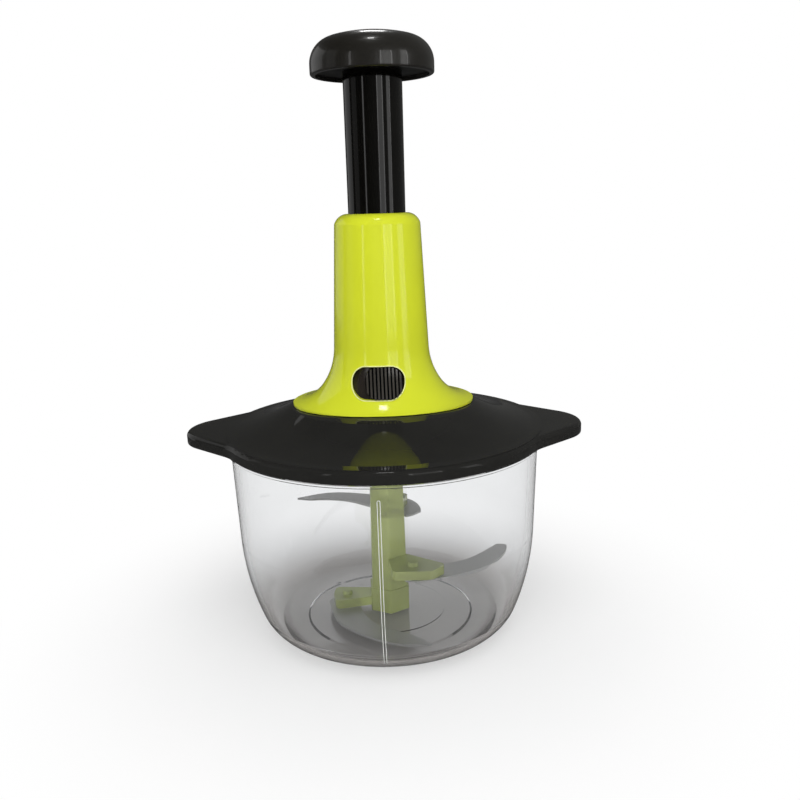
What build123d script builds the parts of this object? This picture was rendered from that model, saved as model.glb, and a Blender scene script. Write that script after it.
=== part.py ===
"""Push-down food chopper: clear bowl, three-level blade unit, lid with lever-free plunger drive.

Millimetres, +Z up, origin at the centre of the foot on the table, front is -Y,
the lid's two finger ears lie along X.
"""
import os
from math import acos, asin, atan, cos, degrees, hypot, pi, radians, sin, sqrt, tan

from build123d import *

os.makedirs("parts", exist_ok=True)

# ---------------------------------------------------------------- sizes
TOTAL_H = 275.0          # table to top of knob
EAR_SPAN = 190.0         # ear tip to ear tip

# bowl
BOWL_MID_R = 72.0        # outer radius at BOWL_MID_Z
BOWL_MID_Z = 50.0
BOWL_TAPER = 1.9         # degrees, wall opens upward
BOWL_SIDE_R = 120.0      # big arc of the lower wall
BOWL_HEEL_R = 18.0       # heel arc down to the foot
BOWL_WALL = 2.4
BOWL_RIM_Z = 99.6
BOWL_FLOOR_Z = 4.2
FOOT_RECESS_R = 42.0
FOOT_RECESS_H = 1.6
BEAD_R = 75.5
BEAD_Z0 = 93.4
BEAD_Z1 = 95.0
BOSS_R = 5.6
BOSS_TOP_Z = 11.0
PIN_R = 3.0
PIN_TOP_Z = 24.0

# blade unit
HOLDER_Z0 = 5.2
HOLDER_Z1 = 90.0
HOLDER_R0 = 10.3         # hexagon corner radius, bottom
HOLDER_R1 = 9.0          # hexagon corner radius, top
HOLDER_TURN = 34.0       # angle of one hexagon corner
HOLDER_EDGE = 1.6
COLLAR_TOP_Z = 17.5
COLLAR_STEP = 0.7
ARM_T = 4.5
ARM_W0 = 10.0
ARM_W1 = 16.5
ARM_R = 28.5
ARM_CORNER = 2.6
PEG_RADIUS_AT = 21.5
PEG_R = 1.9
BLADE_T = 1.1
LOWER_BLADE_Z = 7.0
MIDDLE_BLADE_Z = 29.0
UPPER_BLADE_Z = 50.1
ARM_ANGLES = (184.0, 304.0, 84.0)   # lower, middle, upper
SOCKET_R = 6.2
SOCKET_Z0 = 74.0

# lid
LID_R = 76.8
LID_Z0 = 95.3
LID_EDGE_Z = 101.1
LID_WALL = 2.2
SKIRT_IN_R = 74.6
DOME_R = 75.4
BRIM_R = 71.2
BRIM_RISE = 0.35         # brim over the ears' top, inner edge a little higher
DOME_MID = (55.5, 106.2)
CROWN_R = 43.8           # where the gentle crown breaks into the steeper dome
CROWN_DROP = 1.4
DOME_TOP_R = 35.6        # flat seat of the column
DOME_TOP_Z = 113.5
EAR_R = 22.0
EAR_FLANK = 0.93         # slope of the ear's straight flank
EAR_FILLET = 25.0
LINER_Z0 = 96.0
LINER_Z1 = 98.4
LINER_R = 66.5
SEAL_R = 70.75
LINER_SCREW_R = 52.0
HOUSING_IN = 14.2
HOUSING_OUT = 17.5

# column, sleeve and bush
FOOT_HALF_X = 42.9       # oval foot, along the ears
FOOT_LIFT = 0.3          # gap of the foot's rim over the lid's crown
TOE_Z = 121.4            # below this the sides spread into the oval
TOE_RISE = 0.1           # foot's widest line over the column's seat
COLUMN_TOP_Z = 199.5
COLUMN_OPEN_R = 13.6
COLUMN_WALL = 2.2
COLUMN_TAPER = 2.75
FLARE_R = 31.7
FLARE_TOP = (22.34, 138.6)
COLUMN_SCREW_R = 26.0
COLUMN_SCREW_ANGLES = (30.0, 150.0, 210.0, 330.0)
SLEEVE_IN = 15.3
SLEEVE_OUT = 17.3
SLEEVE_TOP_Z = 193.5
SLEEVE_FLANGE_R = 30.0
SLEEVE_FLANGE_H = 2.0
KEYWAY_W = 6.6
KEYWAY_TOP_Z = 177.1
WINDOW_W = 23.8
WINDOW_H = 13.9
WINDOW_Z = 126.2
WINDOW_CORNER = 6.6
WINDOW_TURN = -3.5       # window sits a little left of the front

# plunger
STROKE = 57.0
TUBE_R = 13.0
TUBE_IN = 11.0
TUBE_Z0 = 179.0
TUBE_Z1 = 266.5
KNOB_R = 27.1
KNOB_LIP_Z = 257.6
KNOB_WALL = 2.2
KNOB_CROWN_R = 75.0
KNOB_CROWN_AT = 19.0
NUT_Z0 = 171.0
NUT_R = 15.1
NUT_TAB_R = 16.9
NUT_SLOT_H = 3.0
SLOT_CLEAR = 0.35

# spiral drive
STRIP_W = 10.0
STRIP_T = 2.6
STRIP_LEAD = 38.0
STRIP_TWIST_Z = 112.5
STRIP_TOP_Z = 188.0
HUB_FLANGE_R = 12.0
JOURNAL_R = 6.5
RUN_FIT = 0.05
TEETH = 8
TOOTH_H = 1.4

# lock
LOCK_REST = 6.2          # degrees from the window's middle, towards +X
LOCK_HALF = 38.0
LOCK_RING_Z0 = 115.55
LOCK_RING_Z1 = 127.0
LOCK_WEB_Z0 = 120.3
BUTTON_W = 16.6
BUTTON_H = 13.2


def finish(builder, label):
    """Name a finished piece and write it out."""
    builder.part.label = label
    export_step(builder.part, "parts/" + label + ".step")
    print(label, round(builder.part.volume), len(builder.part.solids()))


def on_arc(center, radius, angle):
    """Point of a circle in the R-Z plane, angle in degrees from +R."""
    return (center[0] + radius * cos(radians(angle)), center[1] + radius * sin(radians(angle)))


def polar(radius, angle):
    """Point in plan."""
    return (radius * cos(radians(angle)), radius * sin(radians(angle)))


# ================================================================ BOWL
t0 = BOWL_TAPER
side_c = (
    BOWL_MID_R - BOWL_SIDE_R * cos(radians(t0)),
    BOWL_MID_Z + BOWL_SIDE_R * sin(radians(t0)),
)
t1 = degrees(asin((side_c[1] - BOWL_HEEL_R) / (BOWL_SIDE_R - BOWL_HEEL_R)))
heel_c = (side_c[0] + (BOWL_SIDE_R - BOWL_HEEL_R) * cos(radians(t1)), BOWL_HEEL_R)
heel_in = BOWL_HEEL_R - BOWL_WALL
side_in = BOWL_SIDE_R - BOWL_WALL
t2 = degrees(asin((BOWL_HEEL_R - BOWL_FLOOR_Z) / heel_in))
rim_out = BOWL_MID_R + (BOWL_RIM_Z - BOWL_MID_Z) * tan(radians(t0))
rim_in = rim_out - BOWL_WALL / cos(radians(t0))

with BuildPart() as bowl:
    with BuildSketch(Plane.XZ) as bowl_profile:
        with BuildLine():
            p0 = (rim_out, BOWL_RIM_Z)
            p1 = on_arc(side_c, BOWL_SIDE_R, -t0)
            p2 = on_arc(side_c, BOWL_SIDE_R, -t1)
            p3 = (heel_c[0], 0)
            q0 = (rim_in, BOWL_RIM_Z)
            q1 = on_arc(side_c, side_in, -t0)
            q2 = on_arc(side_c, side_in, -t1)
            q3 = on_arc(heel_c, heel_in, -t2)
            Line(p0, p1)
            ThreePointArc(p1, on_arc(side_c, BOWL_SIDE_R, -(t0 + t1) / 2), p2)
            ThreePointArc(p2, on_arc(heel_c, BOWL_HEEL_R, -(t1 + 90) / 2), p3)
            Line(p3, (FOOT_RECESS_R, 0))
            Line((FOOT_RECESS_R, 0), (FOOT_RECESS_R - 1.0, FOOT_RECESS_H))
            Line((FOOT_RECESS_R - 1.0, FOOT_RECESS_H), (0, FOOT_RECESS_H))
            Line((0, FOOT_RECESS_H), (0, BOWL_FLOOR_Z))
            Line((0, BOWL_FLOOR_Z), q3)
            ThreePointArc(q3, on_arc(heel_c, heel_in, -(t1 + t2) / 2), q2)
            ThreePointArc(q2, on_arc(side_c, side_in, -(t0 + t1) / 2), q1)
            Line(q1, q0)
            Line(q0, p0)
        make_face()
    revolve(axis=Axis.Z)
    fillet(bowl.edges().filter_by(GeomType.CIRCLE).group_by(Axis.Z)[-1], radius=0.7)
    # bead that carries the lid's skirt line
    with BuildSketch(Plane.XZ):
        with BuildLine():
            Polyline(
                (rim_out - 1.2, BEAD_Z0), (BEAD_R - 0.5, BEAD_Z0), (BEAD_R, BEAD_Z0 + 0.5),
                (BEAD_R, BEAD_Z1 - 0.4), (BEAD_R - 0.4, BEAD_Z1), (rim_out - 1.2, BEAD_Z1),
                close=True,
            )
        make_face()
    revolve(axis=Axis.Z)
    # raised floor disc and pin boss
    with BuildSketch(Plane.XY.offset(BOWL_FLOOR_Z - 0.1)):
        Circle(28.0)
    extrude(amount=0.5)
    with BuildSketch(Plane.XZ):
        with BuildLine():
            Polyline(
                (0, BOWL_FLOOR_Z), (BOSS_R + 0.9, BOWL_FLOOR_Z), (BOSS_R + 0.6, BOWL_FLOOR_Z + 0.5),
                (BOSS_R, BOWL_FLOOR_Z + 0.9), (BOSS_R, BOSS_TOP_Z - 0.4), (BOSS_R - 0.4, BOSS_TOP_Z),
                (0, BOSS_TOP_Z), close=True,
            )
        make_face()
    revolve(axis=Axis.Z)
    with BuildSketch(Plane.XY.offset(BOSS_TOP_Z)):
        Circle(PIN_R)
    extrude(amount=-7.0, mode=Mode.SUBTRACT)
finish(bowl, "bowl")

with BuildPart() as bowl_pin:
    with BuildSketch(Plane.XY.offset(BOSS_TOP_Z - 7.0)):
        Circle(PIN_R)
    extrude(amount=PIN_TOP_Z - BOSS_TOP_Z + 7.0)
    fillet(bowl_pin.edges().group_by(Axis.Z)[-1], radius=1.6)
finish(bowl_pin, "bowl_pin")


# ================================================================ BLADE UNIT
def holder_hexagon(z, extra=0.0):
    """Rounded hexagon of the holder at height z."""
    share = (z - HOLDER_Z0) / (HOLDER_Z1 - HOLDER_Z0)
    corner = HOLDER_R0 + (HOLDER_R1 - HOLDER_R0) * share + extra
    with BuildSketch(Plane.XY.offset(z)) as hexagon:
        RegularPolygon(corner, side_count=6, rotation=HOLDER_TURN)
        fillet(hexagon.vertices(), radius=HOLDER_EDGE)
    return hexagon.sketch


def arm_plan(angle, z, far):
    """Flat arm from inside the stem to its far corners, given in the arm's own frame."""
    with BuildSketch(Plane.XY.offset(z).rotated((0, 0, angle))) as arm:
        with BuildLine():
            Polyline((7.0, ARM_W0 / 2), (7.0, -ARM_W0 / 2), *far, close=True)
        make_face()
        outer = arm.vertices().filter_by(lambda v: hypot(v.X, v.Y) > PEG_RADIUS_AT)
        fillet(outer, radius=ARM_CORNER)
    return arm.sketch


side = ARM_W1 / 2
ARM_FAR = (
    ((ARM_R - 1.3, -side), (ARM_R, 0.0), (ARM_R - 1.3, side)),
    ((ARM_R - 6.5, -1.45 * side), (ARM_R + 4.1, 0.36 * side), (ARM_R + 1.8, 1.67 * side)),
    ((ARM_R - 1.3, -side), (ARM_R, 0.0), (ARM_R - 1.3, side)),
)
lower_arm_z = LOWER_BLADE_Z + BLADE_T
middle_arm_z = MIDDLE_BLADE_Z + BLADE_T
upper_arm_z = UPPER_BLADE_Z + BLADE_T
arm_levels = (lower_arm_z, middle_arm_z, upper_arm_z)

with BuildPart() as blade_holder:
    loft([holder_hexagon(HOLDER_Z0), holder_hexagon(HOLDER_Z1)], ruled=True)
    extrude(holder_hexagon(HOLDER_Z0, COLLAR_STEP), amount=COLLAR_TOP_Z - HOLDER_Z0)
    for arm_angle, arm_z, arm_far in zip(ARM_ANGLES, arm_levels, ARM_FAR):
        extrude(arm_plan(arm_angle, arm_z, arm_far), amount=ARM_T)
    # peg holes
    for arm_angle, arm_z in zip(ARM_ANGLES, arm_levels):
        with BuildSketch(Plane.XY.offset(arm_z)):
            with Locations(polar(PEG_RADIUS_AT, arm_angle)):
                Circle(PEG_R)
        extrude(amount=ARM_T, mode=Mode.SUBTRACT)
    # bearing bores, from below
    with BuildSketch(Plane.XY.offset(HOLDER_Z0)):
        Circle(BOSS_R + 0.5)
    extrude(amount=BOSS_TOP_Z - HOLDER_Z0, mode=Mode.SUBTRACT)
    with BuildSketch(Plane.XY.offset(BOSS_TOP_Z)):
        Circle(5.0)
    extrude(amount=10.0, mode=Mode.SUBTRACT)
    with BuildSketch(Plane.XY.offset(BOSS_TOP_Z + 10.0)):
        Circle(PIN_R + 0.6)
    extrude(amount=PIN_TOP_Z - BOSS_TOP_Z - 8.5, mode=Mode.SUBTRACT)
    # hexagon socket for the drive head
    with BuildSketch(Plane.XY.offset(HOLDER_Z1)):
        RegularPolygon(SOCKET_R, side_count=6, rotation=HOLDER_TURN)
    extrude(amount=-(HOLDER_Z1 - SOCKET_Z0), mode=Mode.SUBTRACT)
finish(blade_holder, "blade_holder")

with BuildPart() as holder_bush:
    with BuildSketch(Plane.XY.offset(BOSS_TOP_Z)):
        Circle(5.0)
        Circle(PIN_R + RUN_FIT, mode=Mode.SUBTRACT)
    extrude(amount=10.0)
finish(holder_bush, "holder_bush")


def make_blade(outer, tip, inner, root, angle, z):
    """Curved cutter: outer edge, tip, inner edge and root in the arm's own frame."""
    with BuildPart() as blade:
        with BuildSketch(Plane.XY.offset(z).rotated((0, 0, angle))) as outline:
            with BuildLine():
                edge_out = Spline(*outer)
                edge_tip = Polyline(outer[-1], *tip, inner[0])
                edge_in = Spline(*inner)
                edge_root = Polyline(inner[-1], *root, outer[0])
            make_face()
            with Locations((PEG_RADIUS_AT, 0)):
                Circle(PEG_R, mode=Mode.SUBTRACT)
        extrude(amount=BLADE_T)
    return blade


LOWER_OUT = [(31.0, 0.0), (29.5, 10.0), (25.1, 23.0), (16.8, 33.0), (5.2, 42.0), (-5.4, 46.6)]
LOWER_TIP = [(-16.0, 47.0)]
LOWER_IN = [(-11.3, 41.0), (-2.2, 33.8), (8.0, 25.5), (13.6, 14.0), (15.3, 3.0)]
LOWER_ROOT = [(15.8, -3.2), (18.4, -6.0), (25.0, -6.6), (29.4, -4.4)]

MIDDLE_OUT = [(32.0, 3.0), (35.7, 17.2), (37.3, 28.5), (35.1, 39.5), (30.9, 49.4), (25.7, 56.9)]
MIDDLE_TIP = [(24.0, 58.7), (22.4, 59.4), (20.9, 58.8)]
MIDDLE_IN = [(18.6, 56.2), (21.3, 45.5), (23.6, 33.3), (22.8, 24.0), (18.1, 13.0), (15.4, 3.0)]
MIDDLE_ROOT = [(15.8, -3.2), (18.4, -6.0), (25.0, -6.6), (30.0, -3.6)]

UPPER_OUT = [
    (17.2, -15.4), (23.7, -13.5), (30.2, -9.2), (34.2, -3.0), (36.8, 7.5), (39.2, 19.0),
    (40.6, 31.7), (37.6, 43.0),
]
UPPER_TIP = [(31.5, 53.0)]
UPPER_IN = [(30.2, 45.0), (31.0, 33.9), (28.4, 23.2), (22.3, 13.3), (16.9, 4.2), (11.9, -3.4), (7.4, -8.8)]
UPPER_ROOT = [(9.6, -12.0), (14.8, -15.7)]

blade_lower = make_blade(LOWER_OUT, LOWER_TIP, LOWER_IN, LOWER_ROOT, ARM_ANGLES[0], LOWER_BLADE_Z)
blade_middle = make_blade(
    MIDDLE_OUT, MIDDLE_TIP, MIDDLE_IN, MIDDLE_ROOT, ARM_ANGLES[1], MIDDLE_BLADE_Z
)
blade_upper = make_blade(UPPER_OUT, UPPER_TIP, UPPER_IN, UPPER_ROOT, ARM_ANGLES[2], UPPER_BLADE_Z)
finish(blade_lower, "blade_lower")
finish(blade_middle, "blade_middle")
finish(blade_upper, "blade_upper")

with BuildPart() as blade_pegs:
    stack_bottoms = (LOWER_BLADE_Z, MIDDLE_BLADE_Z, UPPER_BLADE_Z)
    stack_h = ARM_T + BLADE_T
    for arm_angle, stack_z in zip(ARM_ANGLES, stack_bottoms):
        peg_at = polar(PEG_RADIUS_AT, arm_angle)
        with BuildSketch(Plane.XY.offset(stack_z - 0.8)):
            with Locations(peg_at):
                Circle(3.2)
        extrude(amount=0.8)
        with BuildSketch(Plane.XY.offset(stack_z)):
            with Locations(peg_at):
                Circle(PEG_R)
        extrude(amount=stack_h)
        with BuildSketch(Plane.XY.offset(stack_z + stack_h)):
            with Locations(peg_at):
                Circle(2.7)
        extrude(amount=2.0, taper=14)
finish(blade_pegs, "blade_pegs")


# ================================================================ LID
def lid_plan(inset=0.0):
    """Lid outline: circle with two rounded ears, optionally inset."""
    ear_c = EAR_SPAN / 2 - EAR_R
    norm = hypot(EAR_FLANK, 1.0)
    tangent = (ear_c + EAR_R * EAR_FLANK / norm, EAR_R / norm)
    back_x = 58.0
    back_y = tangent[1] + EAR_FLANK * (tangent[0] - back_x)
    with BuildSketch() as plan:
        Circle(LID_R)
        for s in (-1, 1):
            with BuildLine():
                Polyline(
                    (s * tangent[0], tangent[1]), (s * back_x, back_y),
                    (s * back_x, -back_y), (s * tangent[0], -tangent[1]), close=True,
                )
            make_face()
            with Locations((s * ear_c, 0)):
                Circle(EAR_R)
        joins = plan.vertices().filter_by(
            lambda v: abs(hypot(v.X, v.Y) - LID_R) < 0.05 and abs(v.Y) > 20
        )
        fillet(joins, radius=EAR_FILLET)
        if inset:
            offset(amount=-inset, mode=Mode.REPLACE)
    return plan.sketch


def crown_line(lift):
    """Slope of the lid's crown from the column's seat outwards, raised by lift."""
    return (DOME_TOP_R, DOME_TOP_Z + lift), (CROWN_R, DOME_TOP_Z - CROWN_DROP + lift)


def lid_top_face(base_z):
    """Half section of the lid's top: brim, hollow-sided dome, crown and flat seat."""
    with BuildSketch(Plane.XZ) as section:
        with BuildLine():
            seat, crown = crown_line(0)
            rim = (DOME_R, LID_EDGE_Z + BRIM_RISE)
            brim = (BRIM_R, LID_EDGE_Z + 2 * BRIM_RISE)
            Line((0, base_z), (DOME_R, base_z))
            Line((DOME_R, base_z), rim)
            Line(rim, brim)
            ThreePointArc(brim, DOME_MID, crown)
            Line(crown, seat)
            Line(seat, (0, DOME_TOP_Z))
            Line((0, DOME_TOP_Z), (0, base_z))
        make_face()
    return section.sketch


shelf_z = BOWL_RIM_Z
top_plate_z = DOME_TOP_Z - LID_WALL - 0.1
pillar_top_z = DOME_MID[1] - 0.4
with BuildPart() as lid:
    extrude(lid_plan().moved(Location((0, 0, LID_Z0))), amount=LID_EDGE_Z - LID_Z0)
    fillet(lid.edges().group_by(Axis.Z)[-1], radius=2.2)
    fillet(lid.edges().group_by(Axis.Z)[0], radius=0.7)
    revolve(lid_top_face(shelf_z), axis=Axis.Z)
    # open underside: bowl rim groove, then the hollow under the dome
    with BuildSketch(Plane.XY.offset(LID_Z0 - 1)):
        Circle(SKIRT_IN_R)
    extrude(amount=shelf_z - LID_Z0 + 1, mode=Mode.SUBTRACT)
    with BuildSketch(Plane.XZ):
        with BuildLine():
            inner_a = (LINER_R, shelf_z)
            inner_b = (LINER_R, LID_EDGE_Z)
            inner_c = (CROWN_R - 1.0, DOME_TOP_Z - CROWN_DROP - LID_WALL - 0.2)
            inner_d = (DOME_TOP_R - 1.0, top_plate_z)
            Line((0, shelf_z), inner_a)
            Line(inner_a, inner_b)
            ThreePointArc(inner_b, (DOME_MID[0] - 1.0, DOME_MID[1] - LID_WALL), inner_c)
            Line(inner_c, inner_d)
            Line(inner_d, (0, top_plate_z))
            Line((0, top_plate_z), (0, shelf_z))
        make_face()
    revolve(axis=Axis.Z, mode=Mode.SUBTRACT)
    # hollow ears, open below
    with BuildSketch(Plane.XY.offset(LID_Z0 - 1)) as ear_pockets:
        add(lid_plan(LID_WALL))
        Circle(LID_R, mode=Mode.SUBTRACT)
        Rectangle(2 * 74.0, 200.0, mode=Mode.SUBTRACT)
    extrude(amount=LID_EDGE_Z - LID_WALL - LID_Z0 + 1, mode=Mode.SUBTRACT)
    # liner screw pillars
    with BuildSketch(Plane.XY.offset(LINER_Z1)):
        with PolarLocations(LINER_SCREW_R, 6, start_angle=0):
            Circle(3.4)
    extrude(amount=pillar_top_z - LINER_Z1)
    with BuildSketch(Plane.XY.offset(LINER_Z1)):
        with PolarLocations(LINER_SCREW_R, 6, start_angle=0):
            Circle(1.3)
    extrude(amount=7.0, mode=Mode.SUBTRACT)
    # top plate openings
    with BuildSketch(Plane.XY.offset(DOME_TOP_Z)):
        Circle(SLEEVE_IN)
        for screw_angle in COLUMN_SCREW_ANGLES:
            with Locations(polar(COLUMN_SCREW_R, screw_angle)):
                Circle(1.4)
    extrude(amount=-4.0, mode=Mode.SUBTRACT)
finish(lid, "lid")

with BuildPart() as lid_liner:
    with BuildSketch(Plane.XZ):
        with BuildLine():
            Polyline(
                (9.0, LINER_Z0), (LINER_R - 0.8, LINER_Z0), (LINER_R, LINER_Z0 + 0.8),
                (LINER_R, LINER_Z1), (9.0, LINER_Z1), close=True,
            )
        make_face()
    revolve(axis=Axis.Z)
    # stiffening ring and centring wall for the housing
    with BuildSketch(Plane.XY.offset(LINER_Z1)):
        Circle(40.0)
        Circle(38.2, mode=Mode.SUBTRACT)
        Circle(HOUSING_OUT + 1.8)
        Circle(HOUSING_OUT, mode=Mode.SUBTRACT)
    extrude(amount=3.0)
    with BuildSketch(Plane.XY.offset(LINER_Z0)):
        with PolarLocations(LINER_SCREW_R, 6, start_angle=0):
            Circle(1.3)
    extrude(amount=3.0, mode=Mode.SUBTRACT)
finish(lid_liner, "lid_liner")

with BuildPart() as lid_seal:
    with BuildSketch(Plane.XZ):
        with BuildLine():
            Polyline(
                (LINER_R, LINER_Z0 + 0.8), (69.0, LINER_Z0 + 0.4), (SEAL_R, LINER_Z0 + 1.0),
                (69.2, LINER_Z0 + 1.6), (SEAL_R, LINER_Z0 + 2.5), (69.0, shelf_z), (LINER_R, shelf_z),
                close=True,
            )
        make_face()
    revolve(axis=Axis.Z)
finish(lid_seal, "lid_seal")

with BuildPart() as liner_screws:
    with BuildSketch(Plane.XY.offset(LINER_Z0 - 1.3)):
        with PolarLocations(LINER_SCREW_R, 6, start_angle=0):
            Circle(2.4)
    extrude(amount=1.3)
    with BuildSketch(Plane.XY.offset(LINER_Z0)):
        with PolarLocations(LINER_SCREW_R, 6, start_angle=0):
            Circle(1.3)
    extrude(amount=8.6)
finish(liner_screws, "liner_screws")

with BuildPart() as drive_housing:
    with BuildSketch(Plane.XY.offset(LINER_Z1)):
        Circle(HOUSING_OUT)
        Circle(HOUSING_IN, mode=Mode.SUBTRACT)
    extrude(amount=top_plate_z - LINER_Z1)
finish(drive_housing, "drive_housing")

with BuildPart() as hub_bush:
    with BuildSketch(Plane.XY.offset(LINER_Z0 - 1.0)):
        Circle(9.0)
        Circle(JOURNAL_R + RUN_FIT, mode=Mode.SUBTRACT)
    extrude(amount=LINER_Z1 - LINER_Z0 + 1.0)
    with BuildSketch(Plane.XY.offset(LINER_Z1)):
        Circle(12.5)
        Circle(JOURNAL_R + RUN_FIT, mode=Mode.SUBTRACT)
    extrude(amount=1.2)
finish(hub_bush, "hub_bush")
bush_top_z = LINER_Z1 + 1.2

# ================================================================ COLUMN
lean = radians(COLUMN_TAPER)
flare_c = (FLARE_TOP[0] + FLARE_R * cos(lean), FLARE_TOP[1] + FLARE_R * sin(lean))
shoulder_z = 195.0
shoulder_r = FLARE_TOP[0] - (shoulder_z - FLARE_TOP[1]) * tan(lean)
bush_bottom_z = SLEEVE_TOP_Z
column_roof_z = COLUMN_TOP_Z - 3.0


def flare_angle(radius, z):
    """Angle on a flare arc (concentric with the column's flare) at height z."""
    return 180 + degrees(asin((flare_c[1] - z) / radius))


def flare_band(r_out, r_in, z0, z1):
    """Strip between two flare arcs, cut level at z0 and z1; radii grow towards the axis."""
    with BuildSketch(Plane.XZ) as band:
        with BuildLine():
            a0 = flare_angle(r_out, z0)
            a1 = flare_angle(r_out, z1)
            b0 = flare_angle(r_in, z0)
            b1 = flare_angle(r_in, z1)
            ThreePointArc(
                on_arc(flare_c, r_out, a0), on_arc(flare_c, r_out, (a0 + a1) / 2),
                on_arc(flare_c, r_out, a1),
            )
            Line(on_arc(flare_c, r_out, a1), on_arc(flare_c, r_in, b1))
            ThreePointArc(
                on_arc(flare_c, r_in, b1), on_arc(flare_c, r_in, (b0 + b1) / 2),
                on_arc(flare_c, r_in, b0),
            )
            Line(on_arc(flare_c, r_in, b0), on_arc(flare_c, r_out, a0))
        make_face()
    return band.sketch


def neck_radius(z):
    """Round column's radius at height z: taper, then the flare arc."""
    if z > FLARE_TOP[1]:
        return FLARE_TOP[0] - (z - FLARE_TOP[1]) * tan(lean)
    return flare_c[0] - sqrt(FLARE_R ** 2 - (flare_c[1] - z) ** 2)


# the sides leave the round flare at TOE_Z on a tighter arc that ends nearly level
toe_start = (neck_radius(TOE_Z), TOE_Z)
toe_end = (FOOT_HALF_X, DOME_TOP_Z + TOE_RISE)
toe_lean = degrees(asin((flare_c[1] - TOE_Z) / FLARE_R))
toe_chord = degrees(atan((toe_end[0] - toe_start[0]) / (toe_start[1] - toe_end[1])))
toe_turn = 2 * (toe_chord - toe_lean)
toe_r = hypot(toe_end[0] - toe_start[0], toe_start[1] - toe_end[1]) / (2 * sin(radians(toe_turn / 2)))
toe_c = on_arc(toe_start, toe_r, toe_lean)


def foot_section(half_x, z):
    """Level section of the column, an oval once its sides spread."""
    with BuildSketch(Plane.XY.offset(z)) as section:
        if half_x > neck_radius(z) + 0.01:
            Ellipse(half_x, neck_radius(z))
        else:
            Circle(neck_radius(z))
    return section.sketch


with BuildPart() as column_foot:
    rise = FLARE_TOP[1] + 1.5 - TOE_Z
    upper_z = [TOE_Z + rise * k / 12 for k in range(12, -1, -1)]
    toe_points = [on_arc(toe_c, toe_r, 180 + toe_lean + toe_turn * k / 8) for k in range(1, 9)]
    loft(
        [foot_section(neck_radius(z), z) for z in upper_z]
        + [foot_section(px, pz) for px, pz in toe_points]
    )
    extrude(foot_section(*toe_end), amount=-2.0)
    # trim to the lid: level seat inside, then a rim that follows the crown
    with BuildSketch(Plane.XZ):
        with BuildLine():
            lip, edge = crown_line(FOOT_LIFT)
            far = (edge[0] + 4.0, edge[1] - 0.6)
            Polyline(
                (0, DOME_TOP_Z - 5.0), (0, DOME_TOP_Z), (DOME_TOP_R, DOME_TOP_Z), lip, edge, far,
                (far[0], DOME_TOP_Z - 5.0), close=True,
            )
        make_face()
    revolve(axis=Axis.Z, mode=Mode.SUBTRACT)

with BuildPart() as column:
    add(column_foot.part)
    with BuildSketch(Plane.XZ):
        with BuildLine():
            Line((0, upper_z[0]), (neck_radius(upper_z[0]), upper_z[0]))
            Line((neck_radius(upper_z[0]), upper_z[0]), (shoulder_r, shoulder_z))
            ThreePointArc(
                (shoulder_r, shoulder_z), (18.5 - 0.86, 198.0), (COLUMN_OPEN_R + 0.9, COLUMN_TOP_Z)
            )
            Line((COLUMN_OPEN_R + 0.9, COLUMN_TOP_Z), (0, COLUMN_TOP_Z))
            Line((0, COLUMN_TOP_Z), (0, upper_z[0]))
        make_face()
    revolve(axis=Axis.Z)
    # hollow inside, one wall thick behind the round flare
    with BuildSketch(Plane.XZ):
        with BuildLine():
            flare_in = FLARE_R + COLUMN_WALL
            top_in = (shoulder_r - COLUMN_WALL, column_roof_z)
            flare_in_top = on_arc(flare_c, flare_in, 180 + COLUMN_TAPER)
            foot_in_r = SLEEVE_FLANGE_R + 0.5
            foot_in_a = 180 + degrees(acos((flare_c[0] - foot_in_r) / flare_in))
            Line((0, DOME_TOP_Z), (foot_in_r, DOME_TOP_Z))
            Line((foot_in_r, DOME_TOP_Z), on_arc(flare_c, flare_in, foot_in_a))
            ThreePointArc(
                on_arc(flare_c, flare_in, foot_in_a),
                on_arc(flare_c, flare_in, (180 + COLUMN_TAPER + foot_in_a) / 2), flare_in_top,
            )
            Line(flare_in_top, top_in)
            Line(top_in, (COLUMN_OPEN_R, column_roof_z))
            Line((COLUMN_OPEN_R, column_roof_z), (COLUMN_OPEN_R, COLUMN_TOP_Z - 0.6))
            Line((COLUMN_OPEN_R, COLUMN_TOP_Z - 0.6), (COLUMN_OPEN_R + 0.9, COLUMN_TOP_Z))
            Line((COLUMN_OPEN_R + 0.9, COLUMN_TOP_Z), (0, COLUMN_TOP_Z))
            Line((0, COLUMN_TOP_Z), (0, DOME_TOP_Z))
        make_face()
    revolve(axis=Axis.Z, mode=Mode.SUBTRACT)
    # screw bosses over the sleeve's flange
    boss_z = DOME_TOP_Z + SLEEVE_FLANGE_H
    with BuildSketch(Plane.XY.offset(boss_z)):
        for screw_angle in COLUMN_SCREW_ANGLES:
            with Locations(polar(COLUMN_SCREW_R, screw_angle)):
                Circle(3.2)
    extrude(amount=119.5 - boss_z)
    with BuildSketch(Plane.XY.offset(boss_z)):
        for screw_angle in COLUMN_SCREW_ANGLES:
            with Locations(polar(COLUMN_SCREW_R, screw_angle)):
                Circle(1.4)
    extrude(amount=3.5, mode=Mode.SUBTRACT)
    # lock window through the front of the flare
    with BuildSketch(Plane.XZ.rotated((0, 0, WINDOW_TURN)).offset(12.0)):
        with Locations((0, WINDOW_Z)):
            RectangleRounded(WINDOW_W, WINDOW_H, WINDOW_CORNER)
    extrude(amount=35.0, mode=Mode.SUBTRACT)
finish(column, "column")

with BuildPart() as column_bush:
    with BuildSketch(Plane.XY.offset(bush_bottom_z)):
        Circle(shoulder_r - COLUMN_WALL - 0.1)
        Circle(TUBE_R + 0.08, mode=Mode.SUBTRACT)
    extrude(amount=column_roof_z - bush_bottom_z)
finish(column_bush, "column_bush")

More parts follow.
